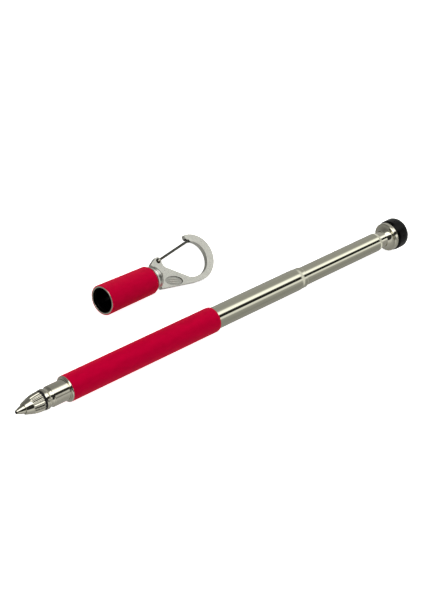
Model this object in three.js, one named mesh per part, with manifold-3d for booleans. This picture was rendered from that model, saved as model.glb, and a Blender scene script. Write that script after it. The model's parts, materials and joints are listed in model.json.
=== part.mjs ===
// Telescopic pocket pen, pulled out to its full length, with its snap-hook cap lying beside it.
// Millimetres, +Z up. The pen lies along +X from its writing point to its end button, and the
// cap lies on the +Y side, its mouth facing the same way as the point. The origin is on the
// table, under the middle of the whole object.

import * as THREE from 'three';
import { mergeVertices } from 'three/addons/utils/BufferGeometryUtils.js';
import Module from 'manifold-3d';

const wasm = await Module();
wasm.setup();

// ---- Driving dimensions -------------------------------------------------------------------
// Lengths along the pen are measured from its writing point.

const SIDES = 32;                  // flats round every turned piece, so nested pieces line up
const RUN = 0.04;                  // radial clearance where one piece slides or turns in another
const SEAT = 0.03;                 // clearance where a piece is pressed or screwed into another

const BARREL_RADIUS = 3.75;
const BARREL_BORE = 3.45;
const BARREL_FRONT = 16.5;
const BARREL_REAR = 68.8;

const TUBE_WALL = 0.25;
const LARGE_TUBE_RADIUS = 3.26;
const LARGE_TUBE_FRONT = 59.5;
const LARGE_TUBE_REAR = 103.6;
const SMALL_TUBE_RADIUS = 2.83;
const SMALL_TUBE_FRONT = 94.1;
const SMALL_TUBE_REAR = 135.9;
const FLARE_LENGTH = 2.5;          // widened front end that stops each tube from pulling out
const SHOE_LENGTH = 3.4;           // split spring sleeve behind the flare
const SHOE_WALL = 0.13;

const CONE_FRONT = 2.6;
const CONE_REAR = 8.0;
const FLUTES = 24;
const FLUTE_FRONT = 4.7;
const FLUTE_DEPTH = 0.13;
const THREAD_RADIUS = 1.93;
const THREAD_REAR = 12.6;

const SEAL_WIDTH = 0.6;
const SEAL_RADIUS = 2.8;

const COLLAR_FRONT = CONE_REAR + SEAL_WIDTH;
const COLLAR_RADIUS = 2.97;
const SNAP_GROOVE = 10.25;         // middle of the groove that the cap clicks into
const FLANGE_FRONT = 16.05;
const FLANGE_RADIUS = 3.7;
const COLLAR_REAR = 23;

const BALL_RADIUS = 0.45;
const REFILL_RADIUS = 1.175;
const NIB_RADIUS = 1.28;
const REFILL_LENGTH = 67;

const KNOB_NECK_RADIUS = 2.42;
const KNOB_RIM_RADIUS = 4.35;
const KNOB_RIM_REAR = 141.2;
const BUTTON_RADIUS = 4.65;
const PEN_LENGTH = 146.5;

// Lengths along the cap are measured from its mouth.

const CAP_LENGTH = 19.1;
const CAP_MOUTH_RADIUS = 4.3;
const CAP_REAR_RADIUS = 4.07;
const CAP_BORE = 3.8;
const CAP_ROLL = 1.3;              // radius of the rounded closed end
const LINER_RADIUS = 3.5;          // inside of the black liner
const LINER_DEPTH = 16.3;
const BAND_RADIUS = 3.35;
const BAND_REAR = 20.3;
const CLIP_BASE = 20.65;           // where the clip plate starts

const PLATE_THICKNESS = 1.4;
const BOSS = new THREE.Vector2(2.95, 3.85);    // gate hinge, in the clip's own plane
const LATCH = new THREE.Vector2(16.4, 5.75);   // where the gate closes in the hook's nose
const HOOK_REACH = 23.15;
const WIRE_RADIUS = 0.3;
const POCKET = new THREE.Vector2(5.2, -3);
const POCKET_DEPTH = 0.2;

const CAP_MOUTH_X = 37.2;
const CAP_MOUTH_Y = 17.4;

// ---- Shape helpers ------------------------------------------------------------------------

// A solid of revolution about X. The outline is a list of [x, radius] points that runs rearwards
// along the inside and back along the outside; with no inside it starts and ends on the axis.
function turned(outline, sides = SIDES) {
  const profile = outline.map(([x, radius]) => new THREE.Vector2(radius, x)).reverse();
  if (outline[0][1] > 0) profile.push(profile[0].clone());
  return new THREE.LatheGeometry(profile, sides).rotateZ(-Math.PI / 2);
}

// Points on a quarter or other arc, as [x, radius] pairs, from one angle to another in degrees.
function arc(x, radius, size, from, to, steps) {
  const points = [];
  for (let i = 0; i <= steps; i++) {
    const angle = THREE.MathUtils.degToRad(from + (to - from) * i / steps);
    points.push([x + size * Math.cos(angle), radius + size * Math.sin(angle)]);
  }
  return points;
}

// A plain sleeve about X.
function sleeve(front, rear, outer, inner) {
  return turned([[front, inner], [rear, inner], [rear, outer], [front, outer]]);
}

// A split sleeve about X: a C-shaped section with its gap facing down.
function splitSleeve(front, length, outer, inner, gapDegrees) {
  const half = THREE.MathUtils.degToRad(gapDegrees / 2);
  const section = new THREE.Shape();
  section.absarc(0, 0, outer, half, 2 * Math.PI - half, false);
  section.absarc(0, 0, inner, 2 * Math.PI - half, half, true);
  const settings = { depth: length, bevelEnabled: false, curveSegments: SIDES };
  return new THREE.ExtrudeGeometry(section, settings).rotateY(Math.PI / 2).translate(front, 0, 0);
}

// A solid that manifold-3d can cut, from any closed geometry.
function solid(geometry) {
  const bare = geometry.clone();
  bare.deleteAttribute('normal');
  bare.deleteAttribute('uv');
  const merged = mergeVertices(bare, 1e-5);
  return new wasm.Manifold(new wasm.Mesh({
    numProp: 3,
    vertProperties: new Float32Array(merged.attributes.position.array),
    triVerts: new Uint32Array(merged.index.array),
  }));
}

// A three.js geometry from a manifold-3d solid.
function geometryOf(manifold) {
  const mesh = manifold.getMesh();
  const geometry = new THREE.BufferGeometry();
  geometry.setAttribute('position', new THREE.BufferAttribute(mesh.vertProperties, 3));
  geometry.setIndex(new THREE.BufferAttribute(mesh.triVerts, 1));
  geometry.computeVertexNormals();
  return geometry;
}

function piece(name, geometry, finish) {
  const mesh = new THREE.Mesh(geometry, new THREE.MeshStandardMaterial(finish));
  mesh.name = name;
  return mesh;
}

// ---- Finishes -----------------------------------------------------------------------------

const RED_ANODISED = { color: 0xb40030, roughness: 0.4, metalness: 0.3 };
const BRIGHT_NICKEL = { color: 0xc8c7ba, roughness: 0.15, metalness: 1 };
const SATIN_NICKEL = { color: 0xcfcfc4, roughness: 0.4, metalness: 1 };
const STAINLESS = { color: 0x9d9c8b, roughness: 0.2, metalness: 1 };
const SPRING_BRONZE = { color: 0xb08a5a, roughness: 0.35, metalness: 1 };
const BRASS = { color: 0xc9a55c, roughness: 0.35, metalness: 1 };
const BLACK_RUBBER = { color: 0x121212, roughness: 0.8, metalness: 0 };
const BLACK_PLASTIC = { color: 0x0c0c0c, roughness: 0.3, metalness: 0 };
const WHITE_NYLON = { color: 0xe6e4da, roughness: 0.5, metalness: 0 };
const HARD_METAL = { color: 0x3a3a3c, roughness: 0.1, metalness: 1 };

// ---- Front end: refill, nose cone, seal and collar -----------------------------------------

// The ball that lays the ink down. It turns freely in its socket.
function writingBall() {
  return new THREE.SphereGeometry(BALL_RADIUS, 16, 10).translate(BALL_RADIUS, 0, 0);
}

// Conical nib with an open socket for the ball, an ink bore, and a stem that plugs the ink tube.
function refillTip() {
  const lip = 0.3;
  const socketRadius = BALL_RADIUS + RUN;
  const socketRear = 2 * BALL_RADIUS + 0.1;
  const inkBore = 0.25;
  const stemFront = 4.5;
  const stemRear = 8;
  const stemRadius = 0.85;
  return turned([
    [lip, socketRadius], [socketRear, socketRadius], [socketRear + 0.3, inkBore],
    [stemRear, inkBore], [stemRear, stemRadius], [stemFront, stemRadius],
    [stemFront, NIB_RADIUS], [CONE_FRONT - 0.1, NIB_RADIUS], [lip, socketRadius + 0.1],
  ], 24);
}

// Metal ink tube of the short, slim refill.
function inkTube() {
  return turned([
    [4.55, 0.88], [REFILL_LENGTH, 0.88],
    [REFILL_LENGTH, REFILL_RADIUS], [4.55, REFILL_RADIUS],
  ], 24);
}

// Nose cone: smooth in front, fluted for grip behind, with a threaded shank for the collar.
function noseCone() {
  const bore = NIB_RADIUS + RUN;
  const flutedRadius = 2.74;
  const outline = [
    [CONE_FRONT, bore], [THREAD_REAR, bore], [THREAD_REAR, THREAD_RADIUS],
    [CONE_REAR, THREAD_RADIUS], [CONE_REAR, flutedRadius], [6.7, 2.68], [5.2, 2.43],
    [FLUTE_FRONT, 2.3], [3.4, 1.87], [CONE_FRONT + 0.15, 1.68], [CONE_FRONT, 1.55],
  ];
  const cone = turned(outline, FLUTES * 4);
  const position = cone.attributes.position;
  for (let i = 0; i < position.count; i++) {
    const radius = Math.hypot(position.getY(i), position.getZ(i));
    const isFluted = radius > THREAD_RADIUS + 0.1 && position.getX(i) > FLUTE_FRONT + 0.1;
    const turn = Math.atan2(position.getZ(i), position.getY(i));
    const dip = isFluted ? FLUTE_DEPTH * (1 - Math.cos(turn * FLUTES)) / 2 : 0;
    const scale = (radius - dip) / radius;
    position.setY(i, position.getY(i) * scale);
    position.setZ(i, position.getZ(i) * scale);
  }
  return cone;
}

// Rubber ring nipped between the nose cone and the collar.
function oRing() {
  const gap = 0.02;
  const inner = THREAD_RADIUS + SEAT;
  const round = (SEAL_WIDTH - 2 * gap) / 2;
  const middle = CONE_REAR + SEAL_WIDTH / 2;
  return turned([
    [middle - round, inner], [middle + round, inner],
    ...arc(middle, SEAL_RADIUS - round, round, 0, 180, 6),
  ]);
}

// Collar that joins the nose to the barrel: ring, snap groove, plain land, flange and shank.
function frontCollar() {
  const threadBore = THREAD_RADIUS + 0.07;
  const waist = REFILL_RADIUS + 0.15;
  const ringRadius = 2.9;
  const grooveRadius = 2.64;
  return turned([
    [COLLAR_FRONT, threadBore], [13.3, threadBore], [13.3, waist], [14.1, waist],
    [14.1, 1.94], [COLLAR_REAR, 1.94],
    [COLLAR_REAR, BARREL_BORE - SEAT], [BARREL_FRONT, BARREL_BORE - SEAT],
    [BARREL_FRONT, FLANGE_RADIUS], [FLANGE_FRONT + 0.25, FLANGE_RADIUS],
    [FLANGE_FRONT, FLANGE_RADIUS - 0.25], [FLANGE_FRONT, COLLAR_RADIUS],
    [SNAP_GROOVE + 0.8, COLLAR_RADIUS], [SNAP_GROOVE + 0.6, COLLAR_RADIUS - 0.2],
    [SNAP_GROOVE + 0.3, grooveRadius], [SNAP_GROOVE - 0.3, grooveRadius],
    [SNAP_GROOVE - 0.7, ringRadius], [COLLAR_FRONT + 0.15, ringRadius],
    [COLLAR_FRONT, ringRadius - 0.15],
  ]);
}

// Nylon bush behind the collar's waist that grips the refill.
function refillHolder() {
  return sleeve(14.15, COLLAR_REAR - 0.4, 1.94 - SEAT, REFILL_RADIUS + 0.02);
}

// ---- Barrel and telescope ------------------------------------------------------------------

// Barrel tube with a square front and a rolled-in rear that guides the large tube.
function barrelShell() {
  const guide = LARGE_TUBE_RADIUS + RUN;
  return turned([
    [BARREL_FRONT + 0.02, BARREL_BORE], [BARREL_REAR - 1.3, BARREL_BORE],
    [BARREL_REAR - 1.3, guide], [BARREL_REAR, guide], [BARREL_REAR, guide + 0.08],
    [BARREL_REAR - 0.08, guide + 0.23], [BARREL_REAR - 0.35, BARREL_RADIUS - 0.1],
    [BARREL_REAR - 0.75, BARREL_RADIUS - 0.02], [BARREL_REAR - 1.1, BARREL_RADIUS],
    [BARREL_FRONT + 0.12, BARREL_RADIUS], [BARREL_FRONT + 0.02, BARREL_RADIUS - 0.1],
  ]);
}

// A sliding tube: flared at the front against its stop, swaged in at the rear to guide the next.
function slidingTube(front, rear, radius, flareRadius, rearBore, shoulder) {
  const bore = radius - TUBE_WALL;
  const flareRear = front + FLARE_LENGTH;
  return turned([
    [front, flareRadius - TUBE_WALL], [flareRear, flareRadius - TUBE_WALL],
    [flareRear + 0.3, bore], [rear - shoulder, bore], [rear - shoulder / 2, rearBore],
    [rear, rearBore], [rear, rearBore + TUBE_WALL - 0.05],
    [rear - 0.15, rearBore + TUBE_WALL], [rear - shoulder / 2, rearBore + TUBE_WALL],
    [rear - shoulder, radius], [flareRear + 0.3, radius], [flareRear, flareRadius],
    [front, flareRadius],
  ]);
}

function largeTube() {
  return slidingTube(
    LARGE_TUBE_FRONT, LARGE_TUBE_REAR, LARGE_TUBE_RADIUS,
    BARREL_BORE - RUN, SMALL_TUBE_RADIUS + RUN, 2.5,
  );
}

function smallTube() {
  const bore = LARGE_TUBE_RADIUS - TUBE_WALL;
  return slidingTube(
    SMALL_TUBE_FRONT, SMALL_TUBE_REAR, SMALL_TUBE_RADIUS,
    bore - RUN, KNOB_NECK_RADIUS + SEAT, 0.8,
  );
}

// Split bronze sleeve that rides behind a tube's flare and drags on the bore outside it.
function frictionShoe(tubeFront, tubeRadius) {
  const start = tubeFront + FLARE_LENGTH + 0.4;
  const inner = tubeRadius + 0.02;
  return splitSleeve(start, SHOE_LENGTH, inner + SHOE_WALL, inner, 40);
}

// Chromed knob: a hollow plug in the small tube, a slim neck and a trumpet-shaped rim.
function endKnob() {
  const plugFront = 130.3;
  const plugRadius = SMALL_TUBE_RADIUS - TUBE_WALL - SEAT;
  const plugRear = SMALL_TUBE_REAR - 0.9;
  const neckRear = 137.5;
  const trumpet = 2.6;
  const refillRoom = 1.5;
  const wall = 138.3;
  const stemBore = 1.25;
  return turned([
    [plugFront, refillRoom], [wall, refillRoom], [wall, 0], [wall + 0.9, 0],
    [wall + 0.9, stemBore], [KNOB_RIM_REAR, stemBore], [KNOB_RIM_REAR, KNOB_RIM_RADIUS - 0.15],
    [KNOB_RIM_REAR - 0.25, KNOB_RIM_RADIUS], [KNOB_RIM_REAR - 0.5, KNOB_RIM_RADIUS - 0.1],
    ...arc(neckRear, KNOB_NECK_RADIUS + trumpet, trumpet, -22, -90, 5),
    [plugRear, KNOB_NECK_RADIUS], [plugRear, plugRadius], [plugFront, plugRadius],
  ]);
}

// Black end button: a thick rounded disc with a stem pressed into the knob.
function endButton() {
  const front = KNOB_RIM_REAR + 0.05;
  const stemRadius = 1.25 - SEAT;
  const shoulder = 0.5;
  const crown = 2.3;
  return turned([
    [PEN_LENGTH, 0], [PEN_LENGTH, BUTTON_RADIUS - crown],
    ...arc(PEN_LENGTH - crown, BUTTON_RADIUS - crown, crown, 15, 90, 5),
    [front + shoulder, BUTTON_RADIUS], [front, BUTTON_RADIUS - shoulder],
    [front, stemRadius], [front - 1.8, stemRadius], [front - 1.8, 0],
  ]);
}

// ---- Cap and snap hook ----------------------------------------------------------------------

// Red cap shell, slightly tapered, rounded at both ends.
function capShell() {
  const neckHole = BAND_RADIUS - 0.04;
  const rim = 0.45;
  const rollCentre = CAP_LENGTH - CAP_ROLL;
  return turned([
    [0, CAP_BORE], [rollCentre, CAP_BORE], [rollCentre, neckHole], [CAP_LENGTH, neckHole],
    ...arc(rollCentre, CAP_REAR_RADIUS - CAP_ROLL, CAP_ROLL, 32, 90, 5),
    ...arc(rim, CAP_MOUTH_RADIUS - rim, rim, 90, 180, 3),
  ]);
}

// Thin bright ring set in the mouth.
function capMouthRing() {
  return sleeve(-0.05, 0.85, CAP_BORE - SEAT, LINER_RADIUS + 0.12);
}

// Black liner: a closed cup with four small nibs that click into the collar's groove.
function capLiner() {
  const outer = CAP_BORE - SEAT;
  const front = 0.9;
  const nibDepth = FLANGE_FRONT - SNAP_GROOVE;
  const nibReach = 2.8;
  const nibRoot = LINER_RADIUS + 0.15;
  const cup = solid(turned([
    [front, LINER_RADIUS], [LINER_DEPTH, LINER_RADIUS], [LINER_DEPTH, 0],
    [LINER_DEPTH + 0.5, 0], [LINER_DEPTH + 0.5, outer], [front, outer],
  ]));
  return geometryOf([0, 90, 180, 270].reduce((body, degrees) => {
    const nib = new THREE.BoxGeometry(0.7, 0.9, nibRoot - nibReach)
      .translate(nibDepth, 0, (nibRoot + nibReach) / 2)
      .rotateX(THREE.MathUtils.degToRad(degrees));
    return body.add(solid(nib));
  }, cup));
}

// Metal plug that closes the cap: flange inside, bright ring and satin band outside.
function capPlug() {
  const inside = CAP_LENGTH - CAP_ROLL;
  const headRoom = 2.35;
  const pinHole = 1.06;
  return turned([
    [inside - 0.55, headRoom], [CAP_LENGTH, headRoom], [CAP_LENGTH, pinHole],
    [BAND_REAR, pinHole], [BAND_REAR, BAND_RADIUS - 0.1], [BAND_REAR - 0.1, BAND_RADIUS],
    [CAP_LENGTH + 0.45, BAND_RADIUS], [CAP_LENGTH + 0.4, BAND_RADIUS + 0.08],
    [CAP_LENGTH + 0.06, BAND_RADIUS + 0.08], [CAP_LENGTH + 0.06, BAND_RADIUS - 0.1],
    [inside - 0.05, BAND_RADIUS - 0.1], [inside - 0.05, CAP_BORE - SEAT],
    [inside - 0.55, CAP_BORE - SEAT],
  ]);
}

// Dark washer in the swivel's gap.
function swivelWasher() {
  return sleeve(BAND_REAR + 0.04, CLIP_BASE - 0.04, 2.9, 1.06);
}

// Headed pin that holds the clip to the cap and lets it swivel.
function swivelPin() {
  const headFront = CAP_LENGTH - 0.9;
  return turned([
    [CLIP_BASE + 2, 0], [CLIP_BASE + 2, 1], [CAP_LENGTH - 0.06, 1], [CAP_LENGTH - 0.06, 2],
    [headFront, 2], [headFront, 0],
  ]);
}

// Outline of the hook in its own plane: x runs out from the cap, y towards the gate.
function hookOutline() {
  const outer = { x: 15.5, y: 0.85, across: HOOK_REACH - 15.5, up: 6.9 };
  const inner = { x: 15.5, y: 0.7, across: 5, up: 5 };
  const bossRadius = 1.15;
  const pocket = WIRE_RADIUS + 0.12;
  const hook = new THREE.Shape();
  hook.moveTo(0, -3.75);
  hook.lineTo(12.6, -5.83);
  hook.absellipse(outer.x, outer.y, outer.across, outer.up, -1.8, 1.48, false);
  hook.quadraticCurveTo(15.75, 7.6, 15.85, 6.6);
  hook.lineTo(16.2, 6.15);
  hook.absarc(LATCH.x, LATCH.y, pocket, 2, -0.2, true);
  hook.lineTo(17.1, 5.3);
  hook.absellipse(inner.x, inner.y, inner.across, inner.up, 1.15, -1.6, true);
  hook.quadraticCurveTo(12.8, -4.5, 11.3, -3.75);
  hook.lineTo(4.5, 1.4);
  hook.quadraticCurveTo(3.9, 1.9, 4.05, 2.7);
  hook.absarc(BOSS.x, BOSS.y, bossRadius, -0.55, 1.8, false);
  hook.lineTo(0, 3.7);
  return hook;
}

// Small round-ended pocket in the plate, along the spine.
function thumbPocket() {
  const half = 1.9;
  const radius = 1.15;
  const pocket = new THREE.Shape();
  pocket.absarc(half, 0, radius, -Math.PI / 2, Math.PI / 2, false);
  pocket.absarc(-half, 0, radius, Math.PI / 2, 1.5 * Math.PI, false);
  return new THREE.ExtrudeGeometry(pocket, { depth: 1, bevelEnabled: false, curveSegments: 8 })
    .rotateZ(-0.32)
    .translate(POCKET.x, POCKET.y, PLATE_THICKNESS / 2 - POCKET_DEPTH);
}

// Flat snap hook with a round root for the swivel pin and a drilled boss for the gate.
function clipHook() {
  const settings = { depth: PLATE_THICKNESS, bevelEnabled: false, curveSegments: 18 };
  const plate = new THREE.ExtrudeGeometry(hookOutline(), settings)
    .translate(0, 0, -PLATE_THICKNESS / 2);
  const root = turned([[2.6, 0], [2.6, 0.6], [0.9, 2.1], [0, 2.1], [0, 0]], 24);
  const pinHole = turned([[2.1, 0], [2.1, 1.03], [-1, 1.03], [-1, 0]]);
  const gateHole = new THREE.CylinderGeometry(WIRE_RADIUS + 0.07, WIRE_RADIUS + 0.07, 4, 16)
    .rotateX(Math.PI / 2)
    .translate(BOSS.x, BOSS.y, 0);
  let hook = solid(plate).add(solid(root)).subtract(solid(pinHole)).subtract(solid(gateHole));
  hook = hook.subtract(solid(thumbPocket()));
  for (const side of [1, -1]) {
    const dish = new THREE.CylinderGeometry(0.75, 0.75, 0.4, 16)
      .rotateX(Math.PI / 2)
      .translate(BOSS.x, BOSS.y, side * PLATE_THICKNESS / 2);
    hook = hook.subtract(solid(dish));
  }
  return geometryOf(hook).translate(CLIP_BASE, 0, 0);
}

// Sprung wire gate: one wire bent to a U, its ends turned into the boss from both faces.
function gateWire() {
  const length = LATCH.distanceTo(BOSS);
  const level = PLATE_THICKNESS / 2 + 0.08 + WIRE_RADIUS;
  const bend = 0.6;
  const endGap = 0.15;
  const route = new THREE.CurvePath();
  const at = (along, height) => new THREE.Vector3(along, 0, height);
  const line = (from, to) => route.add(new THREE.LineCurve3(from, to));
  const turn = (from, corner, to) => route.add(new THREE.QuadraticBezierCurve3(from, corner, to));
  const returnX = length - level;
  line(at(0, endGap), at(0, level - bend));
  turn(at(0, level - bend), at(0, level), at(bend, level));
  line(at(bend, level), at(returnX, level));
  const reach = level * 4 / 3;
  route.add(new THREE.CubicBezierCurve3(
    at(returnX, level), at(returnX + reach, level), at(returnX + reach, -level), at(returnX, -level),
  ));
  line(at(returnX, -level), at(bend, -level));
  turn(at(bend, -level), at(0, -level), at(0, bend - level));
  line(at(0, bend - level), at(0, -endGap));
  const section = new THREE.Shape().absarc(0, 0, WIRE_RADIUS, 0, 2 * Math.PI, false);
  const settings = { extrudePath: route, steps: 64, bevelEnabled: false, curveSegments: 8 };
  return new THREE.ExtrudeGeometry(section, settings)
    .rotateZ(Math.atan2(LATCH.y - BOSS.y, LATCH.x - BOSS.x))
    .translate(CLIP_BASE + BOSS.x, BOSS.y, 0);
}

// ---- Assembly -------------------------------------------------------------------------------

function buildPen() {
  const pen = new THREE.Group();
  pen.add(
    piece('writing_ball', writingBall(), HARD_METAL),
    piece('refill_tip', refillTip(), BRIGHT_NICKEL),
    piece('ink_tube', inkTube(), BRASS),
    piece('nose_cone', noseCone(), BRIGHT_NICKEL),
    piece('o_ring', oRing(), BLACK_RUBBER),
    piece('front_collar', frontCollar(), BRIGHT_NICKEL),
    piece('refill_holder', refillHolder(), WHITE_NYLON),
    piece('barrel_shell', barrelShell(), RED_ANODISED),
    piece('large_tube', largeTube(), STAINLESS),
    piece('large_tube_shoe', frictionShoe(LARGE_TUBE_FRONT, LARGE_TUBE_RADIUS), SPRING_BRONZE),
    piece('small_tube', smallTube(), STAINLESS),
    piece('small_tube_shoe', frictionShoe(SMALL_TUBE_FRONT, SMALL_TUBE_RADIUS), SPRING_BRONZE),
    piece('end_knob', endKnob(), BRIGHT_NICKEL),
    piece('end_button', endButton(), BLACK_PLASTIC),
  );
  return pen;
}

function buildCap() {
  const cap = new THREE.Group();
  cap.add(
    piece('cap_shell', capShell(), RED_ANODISED),
    piece('cap_mouth_ring', capMouthRing(), BRIGHT_NICKEL),
    piece('cap_liner', capLiner(), BLACK_PLASTIC),
    piece('cap_plug', capPlug(), SATIN_NICKEL),
    piece('swivel_washer', swivelWasher(), BLACK_RUBBER),
    piece('swivel_pin', swivelPin(), BRIGHT_NICKEL),
    piece('clip_hook', clipHook(), SATIN_NICKEL),
    piece('gate_wire', gateWire(), STAINLESS),
  );
  return cap;
}

// The cap rests on its closed end's rounding and on the hook's far edge, so its mouth is raised.
// A few rounds settle the tilt at which both points touch the table.
function layOnTable(cap) {
  const roundingX = CAP_LENGTH - CAP_ROLL;
  const roundingDrop = CAP_REAR_RADIUS - CAP_ROLL;
  const hookX = CLIP_BASE + HOOK_REACH;
  const hookDrop = PLATE_THICKNESS / 2;
  let tilt = 0;
  for (let i = 0; i < 6; i++) {
    const rise = (roundingDrop - hookDrop) * Math.cos(tilt) + CAP_ROLL;
    tilt = Math.asin(rise / (hookX - roundingX));
  }
  cap.rotation.y = tilt;
  cap.position.set(
    CAP_MOUTH_X,
    CAP_MOUTH_Y,
    hookX * Math.sin(tilt) + hookDrop * Math.cos(tilt),
  );
}

const object = new THREE.Group();
const pen = buildPen();
const cap = buildCap();
pen.position.z = BUTTON_RADIUS;
layOnTable(cap);

const layout = new THREE.Group();
layout.add(pen, cap);
const extent = new THREE.Box3().setFromObject(layout, true);
const middle = extent.getCenter(new THREE.Vector3());
layout.position.set(-middle.x, -middle.y, -extent.min.z);
object.add(layout);
object.updateMatrixWorld(true);

export default object;
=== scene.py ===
"""Fine surfaces, finishes and studio for a telescopic pocket pen and its snap-hook cap."""

import json
import math

import bmesh
import bpy
from mathutils import Matrix, Vector


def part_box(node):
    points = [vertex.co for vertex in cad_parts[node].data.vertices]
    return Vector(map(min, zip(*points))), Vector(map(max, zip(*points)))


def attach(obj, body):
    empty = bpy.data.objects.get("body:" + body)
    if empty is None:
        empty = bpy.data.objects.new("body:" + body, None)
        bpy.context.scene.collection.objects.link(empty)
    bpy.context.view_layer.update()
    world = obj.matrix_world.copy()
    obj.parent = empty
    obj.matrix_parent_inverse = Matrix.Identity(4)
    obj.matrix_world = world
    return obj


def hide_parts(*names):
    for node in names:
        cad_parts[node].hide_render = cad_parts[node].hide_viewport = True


bl_info = {
    "name": "Telescopic Pocket Pen",
    "version": (1, 0, 0),
    "blender": (4, 5, 0),
    "location": "3D View > Sidebar > Pocket Pen",
    "description": "Builds the surfaces and finishes of a telescopic pen and its snap-hook cap",
    "category": "Add Mesh",
}

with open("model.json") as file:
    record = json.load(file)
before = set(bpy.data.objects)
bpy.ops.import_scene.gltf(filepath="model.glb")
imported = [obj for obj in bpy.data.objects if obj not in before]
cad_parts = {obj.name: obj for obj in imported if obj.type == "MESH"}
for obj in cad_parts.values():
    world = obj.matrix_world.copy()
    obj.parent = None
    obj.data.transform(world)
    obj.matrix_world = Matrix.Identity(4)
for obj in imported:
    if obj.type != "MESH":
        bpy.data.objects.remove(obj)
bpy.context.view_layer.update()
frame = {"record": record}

MM = 0.001
SIDES = 144          # flats round a turned piece, too fine to see as flats
SPLIT_SIDES = 96
BULGE = 15           # degrees of a rounded corner that one facet may take


# ---- Places taken from the frame -------------------------------------------------------------

def joint(name):
    """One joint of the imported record."""
    return next(j for j in frame["record"]["behaviour"]["joints"] if j["name"] == name)


def pen_place():
    """Matrix from the pen's own millimetres, X back from its point, to the frame's metres."""
    low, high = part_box("barrel_shell")
    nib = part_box("writing_ball")[0][0]
    centre = Vector((nib, (low[1] + high[1]) / 2, (low[2] + high[2]) / 2))
    return Matrix.Translation(centre) @ Matrix.Scale(MM, 4)


def clip_place():
    """Matrix from the clip's own millimetres, X out from the swivel, to the frame's metres."""
    along = Vector(joint("clip_swivel")["axis"])
    up = -Vector(joint("gate_hinge")["axis"])
    turn = Matrix((along, up.cross(along), up)).transposed().to_4x4()
    return Matrix.Translation(Vector(joint("clip_swivel")["pos_m"])) @ turn @ Matrix.Scale(MM, 4)


PEN = pen_place()
CLIP = clip_place()
CLIP_BASE = 20.65    # from the cap's mouth to the swivel's face
CAP = CLIP @ Matrix.Translation((-CLIP_BASE, 0, 0))
HINGE = CLIP.inverted() @ Vector(joint("gate_hinge")["pos_m"])


def length_along(node, place, end):
    """Where a node starts (end 0) or stops (end 1) along a place's X axis, in millimetres."""
    return (place.inverted() @ Vector(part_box(node)[end])).x


# ---- Colours ---------------------------------------------------------------------------------

def linear(hex_colour):
    """An sRGB hex value as linear red, green and blue."""
    channels = [int(hex_colour[i:i + 2], 16) / 255 for i in (1, 3, 5)]
    return tuple(c / 12.92 if c <= 0.04045 else ((c + 0.055) / 1.055) ** 2.4 for c in channels)


def colour(name, hex_colour, description):
    return bpy.props.FloatVectorProperty(
        name=name, description=description, subtype="COLOR", size=3, min=0, max=1,
        default=linear(hex_colour),
    )


def distance(name, millimetres, description):
    return bpy.props.FloatProperty(
        name=name, description=description, unit="LENGTH", subtype="DISTANCE", min=0,
        precision=5, default=millimetres * MM,
    )


class PocketPenSizes(bpy.types.PropertyGroup):
    rounding: distance("Edge rounding", 0.06, "Radius on a machined edge where none is given")
    barrel_radius: distance("Barrel radius", 3.75, "Outside of the red barrel")
    large_tube_radius: distance("Large tube radius", 3.26, "Outside of the wider sliding tube")
    small_tube_radius: distance("Small tube radius", 2.83, "Outside of the thinner sliding tube")
    flute_depth: distance("Flute depth", 0.17, "Depth of the grip flutes on the nose cone")
    thread_pitch: distance("Thread pitch", 0.5, "Pitch of the thread on the nose cone's shank")
    thread_depth: distance("Thread depth", 0.2, "Depth of the thread on the nose cone's shank")
    # Real lines are about 0.1 mm apart, drawn here at 0.38 mm so that they show.
    line_pitch: distance("Band line pitch", 0.38, "Spacing of the fine lines turned on the band")
    line_depth: distance("Band line depth", 0.09, "Depth of the fine lines turned on the band")
    plate_thickness: distance("Hook thickness", 1.4, "Thickness of the flat snap hook")
    pocket_depth: distance("Pocket depth", 0.25, "Depth of the oval pocket in the hook")
    wire_radius: distance("Gate wire radius", 0.3, "Radius of the sprung wire gate")
    flutes: bpy.props.IntProperty(
        name="Flutes", description="Number of grip flutes round the nose cone", min=3, default=20,
    )
    ribs: bpy.props.IntProperty(
        name="Pocket ribs", description="Plain ribs in the oval pocket", min=1, default=3,
    )


class PocketPenColours(bpy.types.PropertyGroup):
    red: colour("Red anodising", "#C00033", "Dye in the barrel's and cap's anodised layer")
    nickel: colour("Bright nickel", "#CBC8B8", "Polished nickel plate on the turned brass")
    satin: colour("Satin nickel", "#CFCFC6", "Tumbled nickel plate on the cast hook")
    steel: colour("Stainless steel", "#C3C2B0", "Drawn steel of the sliding tubes")
    wire: colour("Spring wire", "#4A4A43", "Tempered wire of the snap hook's gate")
    bronze: colour("Spring bronze", "#B08A5A", "Rolled strip of the friction sleeves")
    brass: colour("Drawn brass", "#C9A55C", "Refill's ink tube")
    carbide: colour("Tungsten carbide", "#3A3A3C", "Writing ball")
    rubber: colour("Nitrile rubber", "#121212", "Seal and swivel washer")
    plastic: colour("Black plastic", "#010101", "End button and cap liner")
    nylon: colour("Nylon", "#E6E4DA", "Bush that holds the refill")


class PocketPenStudio(bpy.types.PropertyGroup):
    floor: colour("Floor", "#F4F4F2", "Plain pale floor")
    tent: bpy.props.FloatProperty(
        name="Light tent", description="Brightness of the soft light all round", min=0, default=1,
    )
    lens: bpy.props.FloatProperty(
        name="Lens", description="Focal length on a 36 mm sensor", unit="CAMERA", default=98.94,
    )
    pitch: bpy.props.FloatProperty(
        name="Pitch", description="Angle between the line of sight and the pen", subtype="ANGLE",
        default=math.radians(55),
    )
    roll: bpy.props.FloatProperty(
        name="Roll", description="How far the pen climbs across the view", subtype="ANGLE",
        default=math.radians(24.938),
    )
    camera_offset: bpy.props.FloatVectorProperty(
        name="Camera offset", description="Camera from the pen's point", unit="LENGTH",
        subtype="TRANSLATION", size=3, default=(-0.19619, 0.005, 0.38190),
    )


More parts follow.
